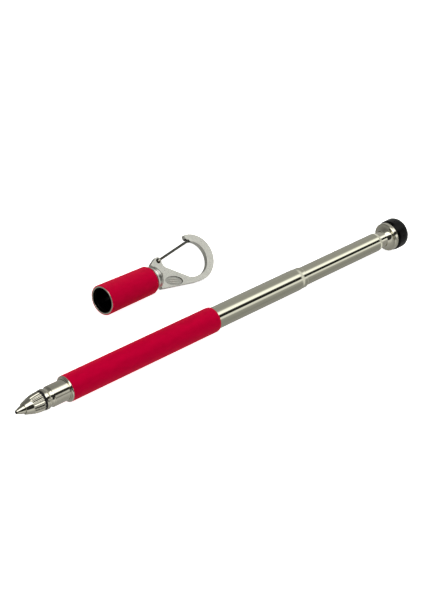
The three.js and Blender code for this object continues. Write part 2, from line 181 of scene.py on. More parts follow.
# ---- Mesh helpers ----------------------------------------------------------------------------

def smooth_run(points, steps=8):
    """A smooth line of (x, radius) points through the given ones."""
    chain = [Vector(p) for p in points]
    ends = [chain[0] * 2 - chain[1]] + chain + [chain[-1] * 2 - chain[-2]]
    run = []
    for a, b, c, d in zip(ends, ends[1:], ends[2:], ends[3:]):
        for step in range(steps):
            t = step / steps
            run.append((b * 2 + (c - a) * t + (a * 2 - b * 5 + c * 4 - d) * t ** 2
                        + (b * 3 - a - c * 3 + d) * t ** 3) / 2)
    return [(p.x, p.y, 0) for p in run] + [(chain[-1].x, chain[-1].y, 0)]


def softened(outline, rounding, closed):
    """The outline with each corner turned into a small arc, and a point beside it that keeps
    the flats flat. A third number on a point is its own rounding, and 0 leaves it as it is."""
    points = []
    count = len(outline)
    for i, point in enumerate(outline):
        here = Vector(point[:2])
        before = Vector(outline[i - 1][:2]) - here
        after = Vector(outline[(i + 1) % count][:2]) - here
        size = point[2] if len(point) > 2 else rounding
        at_end = not closed and i in (0, count - 1)
        if at_end or size == 0:
            points.append(here)
            continue
        bend = math.degrees(math.pi - before.angle(after))
        reach = min(size, 0.42 * before.length, 0.42 * after.length)
        start = here + before.normalized() * reach
        stop = here + after.normalized() * reach
        guard = 0.12 * reach
        points.append(start + before.normalized() * guard)
        steps = max(2, round(bend / BULGE))
        for step in range(steps + 1):
            t = step / steps
            points.append(start * (1 - t) ** 2 + here * 2 * t * (1 - t) + stop * t ** 2)
        points.append(stop + after.normalized() * guard)
    return points


def as_object(name, mesh_maker):
    """A new object whose mesh is what the bmesh holds, with its faces pointing out."""
    bmesh.ops.recalc_face_normals(mesh_maker, faces=mesh_maker.faces)
    mesh = bpy.data.meshes.new(name)
    mesh_maker.to_mesh(mesh)
    mesh_maker.free()
    piece = bpy.data.objects.new(name, mesh)
    bpy.context.scene.collection.objects.link(piece)
    return piece


def turned(name, outline, sides=SIDES, extra_rings=()):
    """A solid of revolution about X, in millimetres. The outline is a closed loop of (x, radius)
    points, or runs from axis to axis. Extra rings split the straight runs at those places."""
    closed = outline[0][1] > 0
    rounding = bpy.context.scene.pocket_pen_sizes.rounding / MM
    profile = with_rings(softened(outline, rounding, closed), extra_rings)
    maker = bmesh.new()
    rings = []
    for x, radius in profile:
        if radius < 1e-6:
            rings.append([maker.verts.new((x, 0, 0))] * sides)
        else:
            turns = [2 * math.pi * k / sides for k in range(sides)]
            rings.append([maker.verts.new((x, radius * math.cos(a), radius * math.sin(a)))
                          for a in turns])
    neighbours = rings[1:] + rings[:1] if closed else rings[1:]
    for ring, following in zip(rings, neighbours):
        for k in range(sides):
            corners = [ring[k], ring[k - 1], following[k - 1], following[k]]
            unique = list(dict.fromkeys(corners))
            if len(unique) > 2:
                maker.faces.new(unique)
    piece = as_object(name, maker)
    piece.data.shade_smooth()
    return piece


def with_rings(profile, places):
    """The profile with a point added wherever a run on its outside crosses one of the places."""
    if not places:
        return profile
    points = []
    for here, following in zip(profile, profile[1:] + profile[:1]):
        points.append(here)
        low, high = sorted((here.x, following.x))
        between = [x for x in places if low + 1e-4 < x < high - 1e-4]
        for x in sorted(between, reverse=following.x < here.x):
            points.append(here.lerp(following, (x - here.x) / (following.x - here.x)))
    return points


def split_sleeve(name, front, length, inner, wall, gap_degrees):
    """A thin sleeve about X with a gap along its underside."""
    section = [(front, inner), (front + length, inner), (front + length, inner + wall),
               (front, inner + wall)]
    maker = bmesh.new()
    half = math.radians(gap_degrees / 2)
    sweep = 2 * math.pi - 2 * half
    slices = []
    for k in range(SPLIT_SIDES + 1):
        turn = -math.pi / 2 + half + sweep * k / SPLIT_SIDES
        slices.append([maker.verts.new((x, r * math.cos(turn), r * math.sin(turn)))
                       for x, r in section])
    for ring, following in zip(slices, slices[1:]):
        for i in range(4):
            j = (i + 1) % 4
            maker.faces.new((ring[i], ring[j], following[j], following[i]))
    maker.faces.new(slices[0])
    maker.faces.new(slices[-1])
    piece = as_object(name, maker)
    piece.data.shade_smooth()
    piece.data.set_sharp_from_angle(angle=math.radians(40))
    return piece


def apply_modifiers(piece):
    """Turns what the modifiers make into the piece's own mesh."""
    result = piece.evaluated_get(bpy.context.evaluated_depsgraph_get())
    mesh = bpy.data.meshes.new_from_object(result)
    piece.modifiers.clear()
    piece.data = mesh


def settle(piece, place, finish, body, slot, *nodes):
    """Bakes a piece into the frame, gives it its finish and hangs it on its body."""
    piece.data.transform(place)
    piece.data.name = piece.name
    piece.data.materials.clear()
    piece.data.materials.append(finish)
    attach(piece, body)
    if nodes:
        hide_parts(*nodes)
    return piece


def cut(piece, cutter):
    """Takes the cutter's shape out of the piece."""
    combine(piece, cutter, "DIFFERENCE")


def combine(piece, other, operation):
    modifier = piece.modifiers.new("Combine", "BOOLEAN")
    modifier.operation = operation
    modifier.solver = "EXACT"
    modifier.object = other
    apply_modifiers(piece)
    bpy.data.objects.remove(other)


def mark_recess(piece, dullness_at):
    """Keeps on each face how much painted shade darkens it, from 0 to 1."""
    marks = piece.data.attributes.new("painted_shade", "FLOAT", "FACE")
    for face, mark in zip(piece.data.polygons, marks.data):
        mark.value = dullness_at(face)


# ---- Node helpers ----------------------------------------------------------------------------

def add_node(tree, kind, inputs=None, **settings):
    """Adds a node with its settings, and links or sets its inputs by name or number. A node
    given as an input is linked from its first output."""
    node = tree.nodes.new(kind)
    for name, value in settings.items():
        setattr(node, name, value)
    for key, value in (inputs or {}).items():
        source = value.outputs[0] if isinstance(value, bpy.types.Node) else value
        if isinstance(source, bpy.types.NodeSocket):
            tree.links.new(source, node.inputs[key])
        else:
            node.inputs[key].default_value = source
    return node


def new_shape_tree(name, sockets):
    """An empty shape tree with a geometry input, the named inputs and a geometry output."""
    tree = bpy.data.node_groups.new(name, "GeometryNodeTree")
    tree.interface.new_socket("Geometry", in_out="INPUT", socket_type="NodeSocketGeometry")
    for label, kind in sockets:
        tree.interface.new_socket(label, in_out="INPUT", socket_type="NodeSocket" + kind)
    tree.interface.new_socket("Geometry", in_out="OUTPUT", socket_type="NodeSocketGeometry")
    return tree, tree.nodes.new("NodeGroupInput").outputs


def close_tree(tree, shape, material):
    """Ends a shape tree in Realize Instances and Set Material."""
    real = add_node(tree, "GeometryNodeRealizeInstances", {"Geometry": shape})
    dressed = add_node(tree, "GeometryNodeSetMaterial", {"Geometry": real, "Material": material})
    add_node(tree, "NodeGroupOutput", {0: dressed})


def run_tree(piece, tree, values):
    """Runs a shape tree on a piece with named input values, and keeps the plain mesh."""
    modifier = piece.modifiers.new(tree.name, "NODES")
    modifier.node_group = tree
    for item in tree.interface.items_tree:
        if item.in_out == "INPUT" and item.name in values:
            modifier[item.identifier] = values[item.name]
    apply_modifiers(piece)


def radial_place(tree):
    """Sockets for how far along X a point is, its radius, its turn, and its way outwards."""
    place = add_node(tree, "GeometryNodeInputPosition")
    axes = add_node(tree, "ShaderNodeSeparateXYZ", {0: place}).outputs
    outwards = add_node(tree, "ShaderNodeCombineXYZ", {"Y": axes["Y"], "Z": axes["Z"]})
    radius = add_node(tree, "ShaderNodeVectorMath", {0: outwards}, operation="LENGTH")
    unit = add_node(tree, "ShaderNodeVectorMath", {0: outwards}, operation="NORMALIZE")
    turn = add_node(tree, "ShaderNodeMath", {0: axes["Z"], 1: axes["Y"]}, operation="ARCTAN2")
    return axes["X"], radius.outputs["Value"], turn.outputs[0], unit.outputs[0]


def sink(tree, shape, outwards, depth):
    """Moves the shape's points inwards by the depth."""
    inwards = add_node(tree, "ShaderNodeMath", {0: depth, 1: -1.0}, operation="MULTIPLY")
    offset = add_node(tree, "ShaderNodeVectorMath", {0: outwards, "Scale": inwards},
                      operation="SCALE")
    return add_node(tree, "GeometryNodeSetPosition", {"Geometry": shape, "Offset": offset})


def masked(tree, depth, *masks):
    """The depth where every mask is 1, less where one is lower, and nothing where one is 0."""
    for mask in masks:
        depth = add_node(tree, "ShaderNodeMath", {0: depth, 1: mask}, operation="MULTIPLY")
    return depth


def between(tree, value, low, high, soft):
    """1 between low and high and 0 outside, with soft ends."""
    risen = add_node(tree, "ShaderNodeMath", {0: low, 1: soft}, operation="ADD")
    falling = add_node(tree, "ShaderNodeMath", {0: high, 1: soft}, operation="SUBTRACT")
    rise = add_node(tree, "ShaderNodeMapRange", {"Value": value, 1: low, 2: risen},
                    interpolation_type="SMOOTHSTEP")
    fall = add_node(tree, "ShaderNodeMapRange",
                    {"Value": value, 1: falling, 2: high, 3: 1.0, 4: 0.0},
                    interpolation_type="SMOOTHSTEP")
    return masked(tree, rise, fall)


def ripple(tree, angle):
    """A smooth wave of the angle, from 0 up to 1 and back in each full turn."""
    wave = add_node(tree, "ShaderNodeMath", {0: angle}, operation="COSINE")
    return add_node(tree, "ShaderNodeMapRange", {"Value": wave, 1: -1.0, 2: 1.0, 3: 1.0, 4: 0.0})


def flutes_and_thread():
    """Shape tree that cuts grip flutes and a screw thread into a turned piece."""
    tree, given = new_shape_tree("Flutes and Thread", [
        ("Flutes", "Int"), ("Flute Depth", "Float"), ("Flute Start", "Float"),
        ("Flute End", "Float"), ("Thread Pitch", "Float"), ("Thread Depth", "Float"),
        ("Thread Start", "Float"), ("Thread End", "Float"), ("Thread Radius", "Float"),
        ("Material", "Material"),
    ])
    x, radius, turn, outwards = radial_place(tree)
    angle = add_node(tree, "ShaderNodeMath", {0: given["Flutes"], 1: turn}, operation="MULTIPLY")
    on_grip = between(tree, x, given["Flute Start"], given["Flute End"], 0.5)
    crest = add_node(tree, "ShaderNodeMath", {0: given["Thread Radius"], 1: 0.12}, operation="ADD")
    outside = add_node(tree, "ShaderNodeMath", {0: radius, 1: crest}, operation="GREATER_THAN")
    flute = masked(tree, given["Flute Depth"], ripple(tree, angle), on_grip, outside)

    pitches = add_node(tree, "ShaderNodeMath", {0: x, 1: given["Thread Pitch"]}, operation="DIVIDE")
    turns = add_node(tree, "ShaderNodeMath", {0: turn, 1: 2 * math.pi}, operation="DIVIDE")
    helix = add_node(tree, "ShaderNodeMath", {0: pitches, 1: turns}, operation="SUBTRACT")
    phase = add_node(tree, "ShaderNodeMath", {0: helix}, operation="FRACT")
    from_crest = add_node(tree, "ShaderNodeMath", {0: phase, 1: 0.5}, operation="SUBTRACT")
    groove = add_node(tree, "ShaderNodeMath", {0: from_crest}, operation="ABSOLUTE")
    on_shank = between(tree, x, given["Thread Start"], given["Thread End"], 0.4)
    near = add_node(tree, "ShaderNodeMath", {0: radius, 1: given["Thread Radius"], 2: 0.08},
                    operation="COMPARE")
    thread = masked(tree, given["Thread Depth"], groove, on_shank, near)

    depth = add_node(tree, "ShaderNodeMath", {0: flute, 1: thread}, operation="ADD")
    close_tree(tree, sink(tree, given["Geometry"], outwards, depth), given["Material"])
    return tree


def turned_lines():
    """Shape tree that turns fine lines into the outside of a band."""
    tree, given = new_shape_tree("Turned Lines", [
        ("Pitch", "Float"), ("Depth", "Float"), ("Start", "Float"), ("End", "Float"),
        ("Band Radius", "Float"), ("Material", "Material"),
    ])
    x, radius, _, outwards = radial_place(tree)
    pitches = add_node(tree, "ShaderNodeMath", {0: x, 1: given["Pitch"]}, operation="DIVIDE")
    angle = add_node(tree, "ShaderNodeMath", {0: pitches, 1: 2 * math.pi}, operation="MULTIPLY")
    on_band = between(tree, x, given["Start"], given["End"], 0.05)
    near = add_node(tree, "ShaderNodeMath", {0: radius, 1: given["Band Radius"], 2: 0.05},
                    operation="COMPARE")
    depth = masked(tree, given["Depth"], ripple(tree, angle), on_band, near)
    close_tree(tree, sink(tree, given["Geometry"], outwards, depth), given["Material"])
    return tree


def rib_row():
    """Shape tree that lays a row of plain round ribs along X, each lying along Y."""
    tree, given = new_shape_tree("Rib Row", [
        ("Count", "Int"), ("Spacing", "Float"), ("Rib Length", "Float"), ("Rib Radius", "Float"),
        ("Material", "Material"),
    ])
    gaps = add_node(tree, "ShaderNodeMath", {0: given["Count"], 1: 1.0}, operation="SUBTRACT")
    span = add_node(tree, "ShaderNodeMath", {0: gaps, 1: given["Spacing"]}, operation="MULTIPLY")
    start = add_node(tree, "ShaderNodeMath", {0: span, 1: -0.5}, operation="MULTIPLY")
    first = add_node(tree, "ShaderNodeCombineXYZ", {"X": start})
    step = add_node(tree, "ShaderNodeCombineXYZ", {"X": given["Spacing"]})
    row = add_node(tree, "GeometryNodeMeshLine",
                   {"Count": given["Count"], "Start Location": first, "Offset": step})
    rib = add_node(tree, "GeometryNodeMeshUVSphere",
                   {"Segments": 16, "Rings": 12, "Radius": given["Rib Radius"]})
    width = add_node(tree, "ShaderNodeMath", {0: given["Rib Radius"], 1: 2.0}, operation="MULTIPLY")
    stretch = add_node(tree, "ShaderNodeMath", {0: given["Rib Length"], 1: width},
                       operation="DIVIDE")
    scale = add_node(tree, "ShaderNodeCombineXYZ", {"X": 1.0, "Y": stretch, "Z": 1.0})
    laid = add_node(tree, "GeometryNodeInstanceOnPoints",
                    {"Points": row, "Instance": rib, "Scale": scale})
    close_tree(tree, laid, given["Material"])
    return tree


# ---- Finishes --------------------------------------------------------------------------------

NOISE_LOW = 0.3      # the noise is spread between these two levels
NOISE_HIGH = 0.7


def new_finish(name, base, metallic, roughness, **sockets):
    """A material with its shader, ready for the pattern that its own function adds."""
    finish = bpy.data.materials.new(name)
    finish.use_nodes = True
    shader = finish.node_tree.nodes["Principled BSDF"]
    shader.inputs["Base Color"].default_value = (*base, 1)
    shader.inputs["Metallic"].default_value = metallic
    shader.inputs["Roughness"].default_value = roughness
    for name_of_socket, value in sockets.items():
        shader.inputs[name_of_socket.replace("_", " ")].default_value = value
    return finish, finish.node_tree, shader


def grain(tree, along, across, detail=3.0):
    """Noise in the object's own space, stretched so a feature is so many mm along X and across."""
    coordinates = add_node(tree, "ShaderNodeTexCoord").outputs["Object"]
    spacing = (1 / (along * MM), 1 / (across * MM), 1 / (across * MM))
    scaled = add_node(tree, "ShaderNodeMapping", {"Vector": coordinates, "Scale": spacing})
    return add_node(tree, "ShaderNodeTexNoise", {"Vector": scaled, "Scale": 1.0, "Detail": detail})


def vary_colour(tree, shader, pattern, base, amount):
    """Lightens and darkens the base colour by the amount, following the pattern."""
    factor = add_node(tree, "ShaderNodeMapRange",
                      {"Value": pattern, 1: NOISE_LOW, 2: NOISE_HIGH, 3: 1 - amount, 4: 1 + amount})
    tinted = add_node(tree, "ShaderNodeVectorMath", {0: base, "Scale": factor}, operation="SCALE")
    tree.links.new(tinted.outputs[0], shader.inputs["Base Color"])


def scale_colour(tree, shader, factor):
    """Multiplies the base colour that the shader has so far by the factor."""
    so_far = shader.inputs["Base Color"].links[0].from_socket
    scaled = add_node(tree, "ShaderNodeVectorMath", {0: so_far, "Scale": factor},
                      operation="SCALE")
    tree.links.new(scaled.outputs[0], shader.inputs["Base Color"])


def vary_roughness(tree, shader, pattern, low, high):
    """Takes the roughness from low to high, following the pattern."""
    result = add_node(tree, "ShaderNodeMapRange",
                      {"Value": pattern, 1: NOISE_LOW, 2: NOISE_HIGH, 3: low, 4: high})
    tree.links.new(result.outputs[0], shader.inputs["Roughness"])


def raise_grain(tree, shader, pattern, height):
    """Relief of the pattern, its height in millimetres."""
    bump = add_node(tree, "ShaderNodeBump", {"Height": pattern, "Strength": 1.0,
                                             "Distance": height * MM})
    tree.links.new(bump.outputs[0], shader.inputs["Normal"])


def red_anodised_aluminium(colours):
    """Drawn, bead-blasted, then dyed: a satin metal red with a faint cloudiness of the dye."""
    finish, tree, shader = new_finish("red_anodised_aluminium", colours.red, 0.2, 0.55,
                                      Specular_IOR_Level=0.05,
                                      Specular_Tint=(*linear("#CB3F61"), 1))
    vary_colour(tree, shader, grain(tree, 2.5, 1.2), colours.red, 0.05)
    # Blasting leaves a 0.05 mm texture, drawn here at 0.25 mm so that it shows.
    blast = grain(tree, 0.25, 0.25, 2.0)
    vary_roughness(tree, shader, blast, 0.52, 0.62)
    raise_grain(tree, shader, blast, 0.004)
    return finish


def bright_nickel_plate(colours):
    """Nickel on turned brass, polished: mirror-like with faint rings from the lathe."""
    finish, tree, shader = new_finish("bright_nickel_plate", colours.nickel, 1.0, 0.08)
    # Lathe feed is about 0.05 mm, drawn here at 0.12 mm so that it shows.
    rings = grain(tree, 0.12, 30, 2.0)
    vary_roughness(tree, shader, rings, 0.03, 0.08)
    vary_colour(tree, shader, grain(tree, 0.8, 0.8), colours.nickel, 0.04)
    raise_grain(tree, shader, rings, 0.0006)
    return finish


def satin_nickel_plate(colours):
    """Nickel on tumbled zinc casting: soft sheen over a fine even grain, with painted shade
    that darkens the faces marked as recesses."""
    finish, tree, shader = new_finish("satin_nickel_plate", colours.satin, 1.0, 0.3)
    # Tumbling leaves pits of about 0.1 mm, drawn here at 0.16 mm so that they show.
    pits = grain(tree, 0.16, 0.16, 4.0)
    vary_roughness(tree, shader, pits, 0.24, 0.4)
    vary_colour(tree, shader, grain(tree, 1.5, 1.5), colours.satin, 0.06)
    # Painted shade: faces marked as recesses keep down to 3% of the base colour.
    painted_shade = add_node(tree, "ShaderNodeAttribute", attribute_name="painted_shade").outputs["Fac"]
    kept = add_node(tree, "ShaderNodeMapRange", {"Value": painted_shade, 1: 0.0, 2: 1.0, 3: 1.0, 4: 0.03})
    scale_colour(tree, shader, kept)
    raise_grain(tree, shader, pits, 0.006)
    return finish


def drawn_stainless(colours):
    """Steel tube drawn through a die and buffed: polished, with fine lines along its length."""
    finish, tree, shader = new_finish("drawn_stainless", colours.steel, 1.0, 0.08)
    # Die lines are about 0.05 mm apart, drawn here at 0.3 mm so that they show.
    lines = grain(tree, 25, 0.3, 3.0)
    vary_roughness(tree, shader, lines, 0.05, 0.11)
    vary_colour(tree, shader, lines, colours.steel, 0.05)
    raise_grain(tree, shader, lines, 0.0008)
    return finish


def spring_wire(colours, bend):
    """Hard-drawn spring wire, left dark from its oil temper, thinly polished, with a painted highlight."""
    finish, tree, shader = new_finish("spring_wire", colours.wire, 1.0, 0.12)
    lines = grain(tree, 8, 0.15)
    vary_roughness(tree, shader, lines, 0.08, 0.18)
    vary_colour(tree, shader, lines, colours.wire, 0.1)
    # Painted highlight: the base colour is raised up to nine times within about 0.4 mm of the bend over
    # the boss.
    here = add_node(tree, "ShaderNodeTexCoord").outputs["Object"]
    gap = add_node(tree, "ShaderNodeVectorMath", {0: here, 1: bend}, operation="DISTANCE")
    painted_highlight = add_node(tree, "ShaderNodeMapRange",
                      {"Value": gap.outputs["Value"], 1: 0.3 * MM, 2: 0.5 * MM, 3: 9.0, 4: 1.0})
    scale_colour(tree, shader, painted_highlight)
    return finish


def rolled_bronze(colours):
    """Phosphor bronze strip, rolled along its length and left bare."""
    finish, tree, shader = new_finish("rolled_bronze", colours.bronze, 1.0, 0.32)
    lines = grain(tree, 6, 0.2)
    vary_roughness(tree, shader, lines, 0.25, 0.4)
    vary_colour(tree, shader, grain(tree, 1.0, 1.0), colours.bronze, 0.12)
    return finish


def drawn_brass(colours):
    """Brass refill tube, drawn and lightly tarnished in cloudy patches."""
    finish, tree, shader = new_finish("drawn_brass", colours.brass, 1.0, 0.3)
    vary_roughness(tree, shader, grain(tree, 12, 0.25), 0.22, 0.36)
    vary_colour(tree, shader, grain(tree, 4, 1.5), colours.brass, 0.1)
    return finish


def tungsten_carbide(colours):
    """Ground and polished sintered ball, with the faint mottle of its grains."""
    finish, tree, shader = new_finish("tungsten_carbide", colours.carbide, 1.0, 0.1)
    grains = grain(tree, 0.08, 0.08)
    vary_roughness(tree, shader, grains, 0.06, 0.16)
    vary_colour(tree, shader, grains, colours.carbide, 0.1)
    return finish


def nitrile_rubber(colours):
    """Moulded rubber: matt black with a fine bloom."""
    finish, tree, shader = new_finish("nitrile_rubber", colours.rubber, 0.0, 0.75,
                                      Specular_IOR_Level=0.3)
    bloom = grain(tree, 0.2, 0.2, 4.0)
    vary_roughness(tree, shader, bloom, 0.65, 0.85)
    raise_grain(tree, shader, bloom, 0.01)
    return finish


def moulded_abs(colours):
    """Injection-moulded ABS from a finely matted tool: deep black, a weak soft shine and a slight
    ripple."""
    finish, tree, shader = new_finish("moulded_abs", colours.plastic, 0.0, 0.3, IOR=1.52,
                                      Specular_IOR_Level=0.1)
    ripple = grain(tree, 1.2, 1.2, 2.0)
    vary_roughness(tree, shader, ripple, 0.26, 0.38)
    raise_grain(tree, shader, ripple, 0.004)
    return finish


def moulded_nylon(colours):
    """Milky nylon, slightly translucent."""
    finish, tree, shader = new_finish("moulded_nylon", colours.nylon, 0.0, 0.5, IOR=1.53,
                                      Subsurface_Weight=0.15)
    cloud = grain(tree, 0.6, 0.6)
    vary_roughness(tree, shader, cloud, 0.42, 0.58)
    vary_colour(tree, shader, cloud, colours.nylon, 0.03)
    return finish


def glowing_board(name, base, glow):
    """Matt painted board, lit a little from within so that it stays even and pale."""
    finish, tree, shader = new_finish(name, base, 0.0, 0.9, Specular_IOR_Level=0.0,
                                      Emission_Color=(1, 1, 1, 1), Emission_Strength=glow)
    # A brushed coat's cloudiness, some 20 mm across.
    vary_roughness(tree, shader, grain(tree, 20, 20), 0.88, 0.95)
    return finish


def finish_named(slot):
    """The finish that goes with a material slot, made when it is first asked for."""
    makers = {
        "red_anodised": red_anodised_aluminium, "bright_nickel": bright_nickel_plate,
        "satin_nickel": satin_nickel_plate, "stainless": drawn_stainless,
        "spring_bronze": rolled_bronze, "brass": drawn_brass, "hard_metal": tungsten_carbide,
        "black_rubber": nitrile_rubber, "black_plastic": moulded_abs,
        "white_nylon": moulded_nylon,
    }
    maker = makers[slot]
    existing = bpy.data.materials.get(maker.__name__)
    return existing or maker(bpy.context.scene.pocket_pen_colours)


def dress(piece, place, body, slot, *nodes):
    """Settles a piece with the finish that goes with its material slot."""
    return settle(piece, place, finish_named(slot), body, slot, *nodes)


# ---- Pen -------------------------------------------------------------------------------------

CONE_FRONT = 2.6
CONE_REAR = 8
THREAD_RADIUS = 1.93
THREAD_REAR = 12.6
COLLAR_FRONT = 8.6
GROOVE_MIDDLE = 10.25
FLANGE_FRONT = 16.05
BARREL_FRONT = 16.5
BARREL_BORE = 3.45
TUBE_WALL = 0.25
RUN = 0.04           # clearance of one sliding surface in the next
NECK_RADIUS = 2.42


class PEN_OT_refill(bpy.types.Operator):
    """Make the refill: writing ball, conical nib and ink tube"""

    bl_idname = "pocket_pen.refill"
    bl_label = "Refill"

    def execute(self, context):
        ball_radius = 0.45
        half_turn = [math.pi * k / 24 for k in range(25)]
        ball = turned("writing_ball_fine", [
            (ball_radius * (1 - math.cos(a)), ball_radius * math.sin(a) if 0 < k < 24 else 0, 0)
            for k, a in enumerate(half_turn)
        ], sides=48)
        dress(ball, PEN, "refill", "hard_metal", "writing_ball")

        nib = turned("refill_nib", [
            (0.32, 0.49, 0.02), (1.0, 0.49, 0), (1.3, 0.25), (8, 0.25), (8, 0.85), (4.5, 0.85),
            (4.5, 1.28), (2.45, 1.28, 0.1), (1.05, 0.84, 0.03), (1.0, 0.78, 0.03),
            (0.32, 0.585, 0.04),
        ])
        dress(nib, PEN, "refill", "bright_nickel", "refill_tip")

        tube = turned("refill_ink_tube", [
            (4.55, 0.88), (67, 0.88), (67, 1.175), (14.2, 1.175, 0), (13.9, 1.12), (13.6, 1.12),
            (13.3, 1.175, 0), (4.55, 1.175),
        ], sides=72)
        dress(tube, PEN, "refill", "brass", "ink_tube")
        return {"FINISHED"}


class PEN_OT_nose(bpy.types.Operator):
    """Make the fluted nose cone with its threaded shank, and the rubber seal behind it"""

    bl_idname = "pocket_pen.nose"
    bl_label = "Nose Cone and Seal"

    def execute(self, context):
        sizes = context.scene.pocket_pen_sizes
        bore = 1.32
        face = smooth_run([(CONE_REAR - 0.1, 2.76), (6.7, 2.69), (5.2, 2.44), (4.0, 2.07),
                           (3.0, 1.75), (CONE_FRONT + 0.12, 1.66)])
        pitch = sizes.thread_pitch / MM
        ring_step = pitch / 8
        ring_count = round((THREAD_REAR - CONE_REAR) / ring_step)
        shank_rings = [CONE_REAR + ring_step * k for k in range(1, ring_count)]
        flutes_front = 4.5
        grip_rings = [flutes_front - 0.2 + 0.18 * k for k in range(20)]
        cone = turned("nose_cone_fluted", [
            (CONE_FRONT, bore, 0.04), (THREAD_REAR, bore), (THREAD_REAR, THREAD_RADIUS - 0.15, 0.02),
            (THREAD_REAR - 0.2, THREAD_RADIUS, 0), (CONE_REAR, THREAD_RADIUS, 0.03),
            (CONE_REAR, 2.7, 0.03), *face, (CONE_FRONT, 1.56, 0.05),
        ], sides=240, extra_rings=sorted(shank_rings + grip_rings))
        finish = finish_named("bright_nickel")
        run_tree(cone, flutes_and_thread(), {
            "Flutes": sizes.flutes, "Flute Depth": sizes.flute_depth / MM,
            "Flute Start": flutes_front, "Flute End": CONE_REAR + 0.6,
            "Thread Pitch": pitch, "Thread Depth": sizes.thread_depth / MM,
            "Thread Start": CONE_REAR + 0.1, "Thread End": THREAD_REAR - 0.05,
            "Thread Radius": THREAD_RADIUS, "Material": finish,
        })
        dress(cone, PEN, "nose", "bright_nickel", "nose_cone")

        middle = (CONE_REAR + COLLAR_FRONT) / 2
        section = 0.28
        seal_turns = [math.pi * k / 10 for k in range(11)]
        seal = turned("nose_seal", [
            (middle - section, 1.96, 0.1), (middle + section, 1.96, 0.1),
            *[(middle + section * math.cos(a), 2.52 + section * math.sin(a), 0)
              for a in seal_turns],
        ])
        dress(seal, PEN, "seal", "black_rubber", "o_ring")
        return {"FINISHED"}


class PEN_OT_collar(bpy.types.Operator):
    """Make the turned collar and the nylon bush inside it"""

    bl_idname = "pocket_pen.collar"
    bl_label = "Collar and Bush"

    def execute(self, context):
        land = 2.97
        ring = 2.9
        groove = 2.62
        collar = turned("front_collar_turned", [
            (COLLAR_FRONT, 2.0), (13.3, 2.0), (13.3, 1.325), (14.1, 1.325), (14.1, 1.94),
            (23, 1.94), (23, BARREL_BORE - 0.03), (BARREL_FRONT, BARREL_BORE - 0.03, 0.02),
            (BARREL_FRONT, 3.71, 0.03), (FLANGE_FRONT + 0.22, 3.71, 0.1),
            (FLANGE_FRONT, 3.47, 0.08), (FLANGE_FRONT, land + 0.2, 0.05), (FLANGE_FRONT - 0.08, land, 0.1),
            (GROOVE_MIDDLE + 0.8, land, 0.05), (GROOVE_MIDDLE + 0.62, land - 0.2, 0.04),
            (GROOVE_MIDDLE + 0.3, groove, 0.15), (GROOVE_MIDDLE - 0.32, groove, 0.15),
            (GROOVE_MIDDLE - 0.68, ring, 0.08), (COLLAR_FRONT + 0.16, ring, 0.06),
            (COLLAR_FRONT, ring - 0.15, 0.04),
        ])
        dress(collar, PEN, "barrel", "bright_nickel", "front_collar")

        bush = turned("refill_bush", [
            (14.15, 1.195), (22.6, 1.195, 0.2), (22.6, 1.91), (14.15, 1.91),
        ], sides=72)
        dress(bush, PEN, "barrel", "white_nylon", "refill_holder")
        return {"FINISHED"}


class PEN_OT_barrel(bpy.types.Operator):
    """Make the red barrel with its rolled-in rear end"""

    bl_idname = "pocket_pen.barrel"
    bl_label = "Barrel"

    def execute(self, context):
        sizes = context.scene.pocket_pen_sizes
        outside = sizes.barrel_radius / MM
        guide = sizes.large_tube_radius / MM + RUN
        rear = length_along("barrel_shell", PEN, 1)
        roll = 0.42
        lip = [math.pi * k / 16 for k in range(9)]
        barrel = turned("barrel_anodised", [
            (BARREL_FRONT + 0.02, BARREL_BORE, 0.03), (rear - 1.3, BARREL_BORE),
            (rear - 1.3, guide), (rear - 0.12, guide, 0.03),
            *[(rear - 1 + math.cos(a), outside - roll + roll * math.sin(a), 0) for a in lip],
            (BARREL_FRONT + 0.02, outside, 0.12),
        ], sides=192)
        dress(barrel, PEN, "barrel", "red_anodised", "barrel_shell")
        return {"FINISHED"}


def sliding_tube(name, front, rear, radius, flare, rear_bore, shoulder):
    """A thin tube, flared at its front, its rear drawn in over a shoulder to guide the next."""
    bore = radius - TUBE_WALL
    flare_rear = front + 2.5
    neck = rear_bore + TUBE_WALL
    return turned(name, [
        (front, flare - TUBE_WALL), (flare_rear, flare - TUBE_WALL, 0.1), (flare_rear + 0.3, bore, 0.1),
        (rear - shoulder, bore, 0.2), (rear - shoulder * 0.45, rear_bore, 0.2), (rear, rear_bore, 0.05),
        (rear, neck, 0.12), (rear - shoulder * 0.45, neck, shoulder * 0.35),
        (rear - shoulder, radius, shoulder * 0.5),
        (flare_rear + 0.3, radius, 0.1), (flare_rear, flare, 0.1), (front, flare),
    ])


class PEN_OT_tubes(bpy.types.Operator):
    """Make the two sliding tubes and the split friction sleeves that ride on them"""

    bl_idname = "pocket_pen.tubes"
    bl_label = "Sliding Tubes"

    def execute(self, context):
        sizes = context.scene.pocket_pen_sizes
        large = sizes.large_tube_radius / MM
        small = sizes.small_tube_radius / MM
        wide = sliding_tube(
            "large_tube_drawn", length_along("large_tube", PEN, 0), length_along("large_tube", PEN, 1),
            large, BARREL_BORE - RUN, small + RUN, 2.5)
        dress(wide, PEN, "large_tube", "stainless", "large_tube")
        thin = sliding_tube(
            "small_tube_drawn", length_along("small_tube", PEN, 0), length_along("small_tube", PEN, 1),
            small, large - TUBE_WALL - RUN, NECK_RADIUS + 0.03, 0.8)
        dress(thin, PEN, "small_tube", "stainless", "small_tube")
        for body, radius in (("large_tube", large), ("small_tube", small)):
            node = body + "_shoe"
            front = length_along(node, PEN, 0)
            shoe = split_sleeve(node + "_strip", front, length=3.4, inner=radius + 0.02, wall=0.13,
                                gap_degrees=40)
            dress(shoe, PEN, body, "spring_bronze", node)
        return {"FINISHED"}


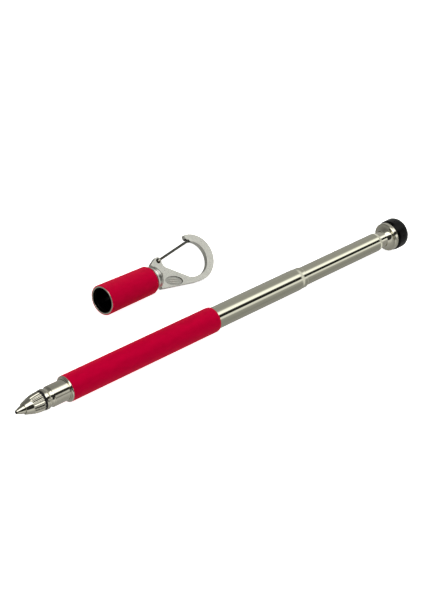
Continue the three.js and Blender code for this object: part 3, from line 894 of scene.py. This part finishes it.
class PEN_OT_knob(bpy.types.Operator):
    """Make the trumpet-shaped knob and its black end button"""

    bl_idname = "pocket_pen.knob"
    bl_label = "Knob and Button"

    def execute(self, context):
        rear = length_along("end_knob", PEN, 1)
        front = length_along("end_knob", PEN, 0)
        rim = 4.35
        dish = 1.6
        drawn_in_end = 0.9
        plug_rear = length_along("small_tube", PEN, 1) - drawn_in_end
        flare = [math.radians(84 * k / 20) for k in range(21)]
        knob = turned("end_knob_turned", [
            (rear - 2.9, 0), (rear - 2.9, 1.5), (front, 1.5), (front, 2.55), (plug_rear, 2.55, 0.03),
            (plug_rear, NECK_RADIUS, 0.04),
            *[(rear - 3.0 + dish * math.sin(a), NECK_RADIUS + dish * (1 - math.cos(a)), 0)
              for a in flare],
            (rear - 1.36, rim - 0.24, 0.05), (rear - 1.3, rim - 0.08, 0.1), (rear - 1.1, rim, 0.08),
            (rear - 0.1, rim, 0.06), (rear, rim - 0.1, 0.06), (rear, 1.25), (rear - 2, 1.25),
            (rear - 2, 0),
        ])
        dress(knob, PEN, "small_tube", "bright_nickel", "end_knob")

        end = length_along("end_button", PEN, 1)
        face = rear + 0.05
        crown = 2.3
        button_radius = 4.65
        crown_turns = [math.pi / 2 * k / 12 for k in range(1, 13)]
        button = turned("end_button_moulded", [
            (end, 0), (end, button_radius - crown, 0.3),
            *[(end - crown + crown * math.cos(a), button_radius - crown + crown * math.sin(a), 0)
              for a in crown_turns],
            (face + 0.5, button_radius, 0.3), (face, button_radius - 0.5, 0.25),
            (face, 1.22), (face - 1.8, 1.22), (face - 1.8, 0),
        ])
        dress(button, PEN, "small_tube", "black_plastic", "end_button")
        return {"FINISHED"}


# ---- Cap and snap hook -----------------------------------------------------------------------

SHELL_REAR = 18.25
CAP_MOUTH_RADIUS = 4.3
CAP_REAR_RADIUS = 4.07
CAP_BORE = 3.8
CAP_ROLL = 0.9
LINER_RADIUS = 3.5
BAND_RADIUS = 3.35
BAND_REAR = 20.3
PIN_RADIUS = 1
PIN_HOLE = 1.06


class PEN_OT_cap(bpy.types.Operator):
    """Make the cap: red shell, mouth ring, black liner with four nibs, plug and washer"""

    bl_idname = "pocket_pen.cap"
    bl_label = "Cap"

    def execute(self, context):
        self.shell()
        self.mouth_ring()
        self.liner()
        self.plug(context.scene.pocket_pen_sizes)
        washer = turned("swivel_washer_moulded", [
            (BAND_REAR + 0.04, PIN_HOLE), (CLIP_BASE - 0.04, PIN_HOLE), (CLIP_BASE - 0.04, 3.2),
            (BAND_REAR + 0.04, 3.2),
        ])
        dress(washer, CAP, "cap", "black_rubber", "swivel_washer")
        return {"FINISHED"}

    def shell(self):
        roll_start = SHELL_REAR - CAP_ROLL
        neck = BAND_RADIUS - 0.16
        roll_turns = [math.radians(32 + 58 * k / 10) for k in range(11)]
        shell = turned("cap_shell_anodised", [
            (0, CAP_BORE, 0.05), (roll_start, CAP_BORE, 0.1), (roll_start, neck, 0.03),
            (SHELL_REAR, neck, 0.05),
            *[(roll_start + CAP_ROLL * math.cos(a), CAP_REAR_RADIUS - CAP_ROLL * (1 - math.sin(a)), 0)
              for a in roll_turns],
            (0, CAP_MOUTH_RADIUS, 0.3),
        ], sides=192)
        dress(shell, CAP, "cap", "red_anodised", "cap_shell")

    def mouth_ring(self):
        ring = turned("cap_mouth_bezel", [
            (-0.05, LINER_RADIUS + 0.12), (0.85, LINER_RADIUS + 0.12), (0.85, CAP_BORE - 0.03),
            (-0.005, CAP_BORE - 0.03, 0.01), (-0.005, CAP_BORE + 0.22, 0.01),
            (-0.05, CAP_BORE + 0.2, 0.03),
        ])
        dress(ring, CAP, "cap", "bright_nickel", "cap_mouth_ring")

    def liner(self):
        outer = CAP_BORE - 0.03
        depth = 16.3
        liner = turned("cap_liner_moulded", [
            (depth, 0), (depth, LINER_RADIUS, 0.5), (0.9, LINER_RADIUS, 0.08), (0.9, outer),
            (depth + 0.5, outer, 0.1), (depth + 0.5, 0),
        ])
        groove_depth = FLANGE_FRONT - GROOVE_MIDDLE
        reach = 2.8
        root = LINER_RADIUS + 0.15
        for quarter in range(4):
            maker = bmesh.new()
            bmesh.ops.create_cube(maker, size=1)
            bmesh.ops.scale(maker, vec=(0.7, 0.9, root - reach), verts=maker.verts)
            bmesh.ops.bevel(maker, geom=maker.edges[:], offset=0.12, segments=2, affect="EDGES",
                            profile=0.5)
            bmesh.ops.translate(maker, vec=(groove_depth, 0, (root + reach) / 2), verts=maker.verts)
            turn = Matrix.Rotation(math.pi / 2 * quarter, 3, "X")
            bmesh.ops.rotate(maker, cent=(0, 0, 0), matrix=turn, verts=maker.verts)
            combine(liner, as_object("nib", maker), "UNION")
        dress(liner, CAP, "cap", "black_plastic", "cap_liner")

    def plug(self, sizes):
        inside = SHELL_REAR - CAP_ROLL
        head_room = 2.35
        ring_front = SHELL_REAR + 0.28
        ring_rear = SHELL_REAR + 0.74
        ring = BAND_RADIUS + 0.18
        lines_front = SHELL_REAR + 0.95
        line_rings = [lines_front + 0.02 * k for k in range(60)]
        plug = turned("cap_plug_turned", [
            (inside - 0.55, head_room), (SHELL_REAR, head_room), (SHELL_REAR, PIN_HOLE),
            (BAND_REAR, PIN_HOLE), (BAND_REAR, BAND_RADIUS, 0.1),
            (ring_rear + 0.16, BAND_RADIUS, 0.02), (ring_rear + 0.08, BAND_RADIUS - 0.1, 0.02),
            (ring_rear, ring, 0.06), (ring_front, ring, 0.06),
            (ring_front, BAND_RADIUS - 0.2, 0.02), (inside - 0.05, BAND_RADIUS - 0.2, 0.02),
            (inside - 0.05, CAP_BORE - 0.03), (inside - 0.55, CAP_BORE - 0.03),
        ], extra_rings=line_rings)
        run_tree(plug, turned_lines(), {
            "Pitch": sizes.line_pitch / MM, "Depth": sizes.line_depth / MM,
            "Start": lines_front, "End": BAND_REAR - 0.1, "Band Radius": BAND_RADIUS,
            "Material": finish_named("satin_nickel"),
        })

        def dullness_at(face):
            """Painted shade on the groove beside the ring and the bottoms of the lines."""
            radius = math.hypot(face.center.y, face.center.z)
            return 1.0 if SHELL_REAR - 0.2 < face.center.x and radius < BAND_RADIUS - 0.06 else 0.0

        mark_recess(plug, dullness_at)
        dress(plug, CAP, "cap", "satin_nickel", "cap_plug")


def arc_points(centre, across, up, start, stop, steps=32):
    """Points on an ellipse from one angle to another, in radians."""
    turns = [start + (stop - start) * k / steps for k in range(steps + 1)]
    return [Vector((centre[0] + across * math.cos(a), centre[1] + up * math.sin(a))) for a in turns]


def curve_points(start, handle, stop, steps=8):
    """Points on a simple curve from start to stop, pulled towards the handle."""
    a, b, c = Vector(start), Vector(handle), Vector(stop)
    turns = [k / steps for k in range(steps + 1)]
    return [a * (1 - t) ** 2 + b * 2 * t * (1 - t) + c * t ** 2 for t in turns]


LATCH = Vector((16.4, 5.75))
POCKET = Vector((5.2, -3))
POCKET_HALF_LENGTH = 3.05
POCKET_HALF_WIDTH = 1.25
POCKET_LEAN = -0.32  # radians, so that the pocket follows the hook's spine
DISH_RADIUS = 0.8    # round the gate's ends, at the plate's surface
HOOK_REACH = 23.15


def hook_outline(wire_radius):
    """The hook's outline in its own plane: x runs out from the swivel, y towards the gate."""
    boss = Vector((HINGE.x, HINGE.y))
    eye = 15.5
    outer = arc_points((eye, 0.85), HOOK_REACH - eye, 6.9, -1.8, 1.48, 48)
    notch = arc_points(LATCH, wire_radius + 0.12, wire_radius + 0.12, 2, -0.2, 10)
    inner = arc_points((eye, 0.7), 5, 5, 1.15, -1.6, 40)
    hinge_round = arc_points(boss, 1.15, 1.15, -0.55, 1.8, 16)
    return [
        Vector((0, -3.75)), *curve_points((12.3, -5.79), (13.2, -5.97), outer[0])[:-1],
        *outer[:-1], *curve_points(outer[-1], (15.75, 7.6), (15.85, 6.6)), Vector((16.2, 6.15)),
        *notch, Vector((17.1, 5.3)), *inner[:-1],
        *curve_points(inner[-1], (12.8, -4.5), (11.3, -3.75)),
        *curve_points((4.5, 1.4), (3.9, 1.9), hinge_round[0])[:-1], *hinge_round,
        Vector((0, 3.7)),
    ]


def plate(name, outline, low, high, bevel=0):
    """A flat plate of that outline between two heights, its rims rounded by the bevel."""
    kept = [p for i, p in enumerate(outline) if (p - outline[i - 1]).length > 0.02]
    maker = bmesh.new()
    bottom = [maker.verts.new((p.x, p.y, low)) for p in kept]
    top = [maker.verts.new((p.x, p.y, high)) for p in kept]
    maker.faces.new(bottom)
    maker.faces.new(top)
    for i in range(len(kept)):
        maker.faces.new((bottom[i - 1], bottom[i], top[i], top[i - 1]))
    bmesh.ops.recalc_face_normals(maker, faces=maker.faces)
    if bevel:
        rims = [e for e in maker.edges if abs(e.verts[0].co.z - e.verts[1].co.z) < 1e-6]
        bmesh.ops.bevel(maker, geom=rims, offset=bevel, segments=3, affect="EDGES", profile=0.5,
                        clamp_overlap=True)
    piece = as_object(name, maker)
    piece.data.shade_smooth()
    for face in piece.data.polygons:
        face.use_smooth = len(face.vertices) <= 4
    return piece


class PEN_OT_hook(bpy.types.Operator):
    """Make the snap hook with its swivel pin, hinge boss and ribbed oval pocket"""

    bl_idname = "pocket_pen.hook"
    bl_label = "Snap Hook"

    def execute(self, context):
        sizes = context.scene.pocket_pen_sizes
        half = sizes.plate_thickness / MM / 2
        depth = sizes.pocket_depth / MM
        hook = plate("clip_hook_cast", hook_outline(sizes.wire_radius / MM), -half, half, 0.16)
        self.add_root(hook)
        self.drill(hook, half, sizes.wire_radius / MM)
        cut(hook, self.pocket(half, depth))
        hook.data.set_sharp_from_angle(angle=math.radians(40))
        flat_from = 0.995
        for face in hook.data.polygons:
            face.use_smooth = abs(face.normal.z) < flat_from
        self.paint_hook_shade(hook, half)
        dress(hook, CLIP, "clip", "satin_nickel", "clip_hook")
        self.ribs(sizes, half, depth)

        head_rear = SHELL_REAR - 0.06 - CLIP_BASE
        head_front = SHELL_REAR - 0.9 - CLIP_BASE
        pin = turned("swivel_pin_turned", [
            (2, 0), (2, PIN_RADIUS), (head_rear, PIN_RADIUS, 0.03), (head_rear, 2),
            (head_front, 2, 0.25), (head_front, 0),
        ], sides=72)
        dress(pin, CLIP, "clip", "bright_nickel", "swivel_pin")
        return {"FINISHED"}

    def add_root(self, hook):
        """Round boss that carries the plate on its pin."""
        root = turned("root", [(0, 0), (0, 2.1, 0.1), (0.9, 2.1, 0.3), (2.6, 0.6, 0.3), (2.6, 0)],
                      sides=96)
        combine(hook, root, "UNION")
        bore = PIN_RADIUS + 0.03
        cut(hook, turned("pin_hole", [(-1, 0), (-1, bore, 0), (2.1, bore, 0), (2.1, 0)], sides=64))

    def drill(self, hook, half, wire_radius):
        """Hole for the gate's ends, with a dish round it on both faces."""
        upright = Matrix.Translation((HINGE.x, HINGE.y, 0)) @ Matrix.Rotation(-math.pi / 2, 4, "Y")
        bore = wire_radius + 0.07
        hole = turned("hinge_hole", [(-2, 0), (-2, bore, 0), (2, bore, 0), (2, 0)], sides=48)
        hole.data.transform(upright)
        cut(hook, hole)
        for side in (1, -1):
            dish = turned("dish", [
                (half - 0.4, 0), (half - 0.4, DISH_RADIUS - 0.12, 0), (half + 0.3, DISH_RADIUS, 0),
                (half + 0.3, 0),
            ], sides=48)
            dish.data.transform(upright @ Matrix.Scale(side, 4, (1, 0, 0)))
            if side < 0:
                dish.data.flip_normals()
            cut(hook, dish)

    def paint_hook_shade(self, hook, half):
        """Marks painted shade on the dishes, the notch and the pocket."""
        boss = Vector((HINGE.x, HINGE.y))
        unlean = Matrix.Rotation(-POCKET_LEAN, 2)

        def dullness_at(face):
            place = face.center.to_2d()
            sunk = abs(face.center.z) < half - 0.02
            in_dish = sunk and (place - boss).length < DISH_RADIUS + 0.05
            in_notch = abs(face.normal.z) < 0.9 and (place - LATCH).length < 1.1
            along, across = unlean @ (place - POCKET)
            in_pocket = (sunk and face.center.z > 0 and abs(along) < POCKET_HALF_LENGTH + 0.35
                         and abs(across) < POCKET_HALF_WIDTH + 0.05)
            # Painted shade: full in the dishes and notch, 0.9 on the pocket walls, 0.35 on its floor.
            if in_dish or in_notch:
                return 1.0
            on_wall = abs(face.normal.z) < 0.95
            return (0.9 if on_wall else 0.35) if in_pocket else 0.0

        mark_recess(hook, dullness_at)

    def pocket(self, half, depth):
        """Oval pocket along the spine, its wall leaning out."""
        outline = arc_points((0, 0), POCKET_HALF_LENGTH, POCKET_HALF_WIDTH, 0, 2 * math.pi, 48)
        cutter = plate("pocket", outline, half - depth, half + depth)
        for vertex in cutter.data.vertices:
            if vertex.co.z > half:
                vertex.co.x *= 1.08
                vertex.co.y *= 1.15
        cutter.data.transform(Matrix.Translation((POCKET.x, POCKET.y, 0))
                              @ Matrix.Rotation(POCKET_LEAN, 4, "Z"))
        return cutter

    def ribs(self, sizes, half, depth):
        """Plain ribs along the pocket's floor."""
        base = bpy.data.meshes.new("pocket_ribs")
        ribs = bpy.data.objects.new("pocket_ribs", base)
        bpy.context.scene.collection.objects.link(ribs)
        run_tree(ribs, rib_row(), {
            "Count": sizes.ribs, "Spacing": 0.55, "Rib Length": 3.8, "Rib Radius": 0.15,
            "Material": finish_named("satin_nickel"),
        })
        ribs.data.shade_smooth()
        ribs.data.transform(Matrix.Translation((POCKET.x, POCKET.y, half - depth))
                            @ Matrix.Rotation(POCKET_LEAN + math.pi / 2, 4, "Z"))
        dress(ribs, CLIP, "clip", "satin_nickel")


class PEN_OT_gate(bpy.types.Operator):
    """Make the sprung wire gate, one wire bent to a long loop with its ends in the boss"""

    bl_idname = "pocket_pen.gate"
    bl_label = "Wire Gate"

    def execute(self, context):
        sizes = context.scene.pocket_pen_sizes
        radius = sizes.wire_radius / MM
        boss = Vector((HINGE.x, HINGE.y))
        span = (LATCH - boss).length
        level = sizes.plate_thickness / MM / 2 + 0.08 + radius
        bend = 0.6
        corner = arc_points((bend, level - bend), bend, bend, math.pi, math.pi / 2, 8)
        quarter_loop = arc_points((span - level, 0), level, level, math.pi / 2, 0, 12)
        half_route = [Vector((0, 0.15)), *corner, *quarter_loop]
        route = half_route + [Vector((p.x, -p.y)) for p in reversed(half_route[:-1])]
        wire = self.swept(route, radius)
        lean = math.atan2(LATCH.y - boss.y, LATCH.x - boss.x)
        wire.data.transform(Matrix.Translation((HINGE.x, HINGE.y, 0)) @ Matrix.Rotation(lean, 4, "Z"))
        # The painted highlight on the wire is centred here, at the top of the bend.
        highlight_spot = CLIP @ Vector((HINGE.x + 0.1, HINGE.y, level))
        finish = spring_wire(context.scene.pocket_pen_colours, highlight_spot)
        settle(wire, CLIP, finish, "gate", "stainless", "gate_wire")
        return {"FINISHED"}

    def swept(self, route, radius):
        """A round wire along the route, which lies in the XZ plane."""
        line = bpy.data.curves.new("gate_wire_bent", "CURVE")
        line.dimensions = "3D"
        line.bevel_depth = radius
        line.bevel_resolution = 6
        line.use_fill_caps = True
        spline = line.splines.new("POLY")
        spline.points.add(len(route) - 1)
        for point, place in zip(spline.points, route):
            point.co = (place.x, 0, place.y, 1)
        drawn = bpy.data.objects.new("gate_line", line)
        bpy.context.scene.collection.objects.link(drawn)
        result = drawn.evaluated_get(bpy.context.evaluated_depsgraph_get())
        mesh = bpy.data.meshes.new_from_object(result)
        bpy.data.objects.remove(drawn)
        maker = bmesh.new()
        maker.from_mesh(mesh)
        bmesh.ops.remove_doubles(maker, verts=maker.verts, dist=1e-4)
        wire = as_object("gate_wire_bent", maker)
        wire.data.shade_smooth()
        wire.data.set_sharp_from_angle(angle=math.radians(60))
        return wire


# ---- Studio ----------------------------------------------------------------------------------

# The tent's brightness at each turn about the pen, in degrees up from its +Y side.
NARROW_GAP_BANDS = (
    (-180, 0.42), (-90, 0.4), (-20, 0.5), (30, 0.5), (44, 0.6), (54, 1.7), (74, 2.0), (79, 1.1),
    (82, 0.08), (86, 0.02), (105, 0.02), (109, 1.3), (122, 1.2), (132, 0.5), (160, 0.4), (180, 0.4),
)
WIDE_GAP_BANDS = (
    (-180, 0.5), (-60, 0.3), (0, 0.18), (34, 0.25), (48, 2.4), (80, 2.4), (84, 0.05), (136, 0.02),
    (144, 0.9), (165, 0.7), (180, 0.5),
)
PATCH_LEVEL = 1.15
BRIGHTEST = 4        # the level that a band's white stands for


class PEN_OT_studio(bpy.types.Operator):
    """Make the plain floor and backdrop, the soft light tent and the camera"""

    bl_idname = "pocket_pen.studio"
    bl_label = "Studio"

    def execute(self, context):
        studio = context.scene.pocket_pen_studio
        self.floor(studio)
        self.backdrop(studio)
        self.tent(context.scene, studio)
        self.camera(context.scene, studio)
        context.scene.view_settings.view_transform = "Standard"
        return {"FINISHED"}

    def floor(self, studio):
        """A wide plain sheet just under the object, kept out of reflections so that the polished
        metal mirrors only the tent."""
        maker = bmesh.new()
        bmesh.ops.create_grid(maker, x_segments=1, y_segments=1, size=3)
        floor = as_object("studio_floor", maker)
        floor.data.transform(Matrix.Translation((0, 0, -0.0002)))
        floor.data.materials.append(glowing_board("painted_board", studio.floor, 0.9))
        floor.visible_glossy = False

    def backdrop(self, studio):
        """A white dome behind everything. Only the camera sees it, so it lights nothing and
        isn't reflected."""
        maker = bmesh.new()
        bmesh.ops.create_icosphere(maker, subdivisions=4, radius=2.9)
        dome = as_object("studio_backdrop", maker)
        dome.data.materials.append(glowing_board("white_backdrop", studio.floor, 1.0))
        for ray in ("glossy", "diffuse", "shadow", "transmission"):
            setattr(dome, "visible_" + ray, False)

    def tent(self, scene, studio):
        """Soft light all round, in bands that run along the pen. From -X to a little past the
        middle there is a broad panel, a wide dark gap and grey walls. Further towards +X these
        turn into bands with a narrower gap, then an even bright patch, and last a dark top over
        a bright foot."""
        world = bpy.data.worlds.new("light_tent")
        scene.world = world
        world.use_nodes = True
        tree = world.node_tree
        tree.nodes.clear()
        way = add_node(tree, "ShaderNodeTexCoord").outputs["Generated"]
        axes = add_node(tree, "ShaderNodeSeparateXYZ", {0: way}).outputs
        turn = add_node(tree, "ShaderNodeMath", {0: axes["Z"], 1: axes["Y"]}, operation="ARCTAN2")
        share = add_node(tree, "ShaderNodeMapRange", {"Value": turn, 1: -math.pi, 2: math.pi})
        foot = add_node(tree, "ShaderNodeMapRange",
                        {"Value": axes["Z"], 1: -0.3, 2: -0.1, 3: 1.6, 4: 0.12})
        level = self.bands(tree, share, WIDE_GAP_BANDS)
        for start, stop, fade, following in (
            (0.42, 0.54, "SMOOTHSTEP", self.bands(tree, share, NARROW_GAP_BANDS)),
            (0.68, 0.74, "LINEAR", PATCH_LEVEL),
            (0.9, 0.93, "LINEAR", foot),
        ):
            past = add_node(tree, "ShaderNodeMapRange", {"Value": axes["X"], 1: start, 2: stop},
                            interpolation_type=fade)
            level = add_node(tree, "ShaderNodeMix", {0: past, 2: level, 3: following})
        strength = add_node(tree, "ShaderNodeMath", {0: level, 1: studio.tent},
                            operation="MULTIPLY")
        glow = add_node(tree, "ShaderNodeBackground",
                        {"Color": (1, 1, 0.985, 1), "Strength": strength})
        add_node(tree, "ShaderNodeOutputWorld", {0: glow})

    def bands(self, tree, share, levels):
        """Brightness by turn about the pen, from a list of turns and levels."""
        ramp = add_node(tree, "ShaderNodeValToRGB", {0: share})
        stops = ramp.color_ramp.elements
        for k, (degrees, level) in enumerate(levels):
            stop = stops[k] if k < 2 else stops.new(1)
            stop.position = (degrees + 180) / 360
            stop.color = (level / BRIGHTEST,) * 3 + (1,)
        return add_node(tree, "ShaderNodeMath", {0: ramp, 1: BRIGHTEST}, operation="MULTIPLY")

    def camera(self, scene, studio):
        """A long lens that looks down on the pen from in front of its point."""
        data = bpy.data.cameras.new("camera")
        data.lens = studio.lens
        data.sensor_width = 36
        data.clip_start = 0.01
        camera = bpy.data.objects.new("camera", data)
        scene.collection.objects.link(camera)
        forward = Vector((math.cos(studio.pitch), 0, -math.sin(studio.pitch)))
        lift = Vector((math.sin(studio.pitch), 0, math.cos(studio.pitch)))
        sideways = Vector((0, 1, 0))
        right = lift * math.cos(studio.roll) - sideways * math.sin(studio.roll)
        up = lift * math.sin(studio.roll) + sideways * math.cos(studio.roll)
        turn = Matrix((right, up, -forward)).transposed().to_4x4()
        place = PEN.to_translation() + Vector(studio.camera_offset)
        camera.matrix_world = Matrix.Translation(place) @ turn
        scene.camera = camera


# ---- Add-on ----------------------------------------------------------------------------------

MAKERS = (
    PEN_OT_studio, PEN_OT_refill, PEN_OT_nose, PEN_OT_collar, PEN_OT_barrel, PEN_OT_tubes,
    PEN_OT_knob, PEN_OT_cap, PEN_OT_hook, PEN_OT_gate,
)


class PEN_PT_panel(bpy.types.Panel):
    """Lists the pen's pieces, sizes and colours"""

    bl_idname = "PEN_PT_panel"
    bl_label = "Pocket Pen"
    bl_space_type = "VIEW_3D"
    bl_region_type = "UI"
    bl_category = "Pocket Pen"

    def draw(self, context):
        for maker in MAKERS:
            self.layout.operator(maker.bl_idname)
        for group in ("pocket_pen_sizes", "pocket_pen_colours", "pocket_pen_studio"):
            values = getattr(context.scene, group)
            for name in values.bl_rna.properties.keys():
                if name not in ("rna_type", "name"):
                    self.layout.prop(values, name)


CLASSES = (PocketPenSizes, PocketPenColours, PocketPenStudio, *MAKERS, PEN_PT_panel)


def register():
    for entry in CLASSES:
        bpy.utils.register_class(entry)
    bpy.types.Scene.pocket_pen_sizes = bpy.props.PointerProperty(type=PocketPenSizes)
    bpy.types.Scene.pocket_pen_colours = bpy.props.PointerProperty(type=PocketPenColours)
    bpy.types.Scene.pocket_pen_studio = bpy.props.PointerProperty(type=PocketPenStudio)


def unregister():
    del bpy.types.Scene.pocket_pen_studio
    del bpy.types.Scene.pocket_pen_colours
    del bpy.types.Scene.pocket_pen_sizes
    for entry in reversed(CLASSES):
        bpy.utils.unregister_class(entry)


def main():
    register()
    bpy.ops.pocket_pen.studio()
    bpy.ops.pocket_pen.refill()
    bpy.ops.pocket_pen.nose()
    bpy.ops.pocket_pen.collar()
    bpy.ops.pocket_pen.barrel()
    bpy.ops.pocket_pen.tubes()
    bpy.ops.pocket_pen.knob()
    bpy.ops.pocket_pen.cap()
    bpy.ops.pocket_pen.hook()
    bpy.ops.pocket_pen.gate()


if __name__ == "__main__":
    main()
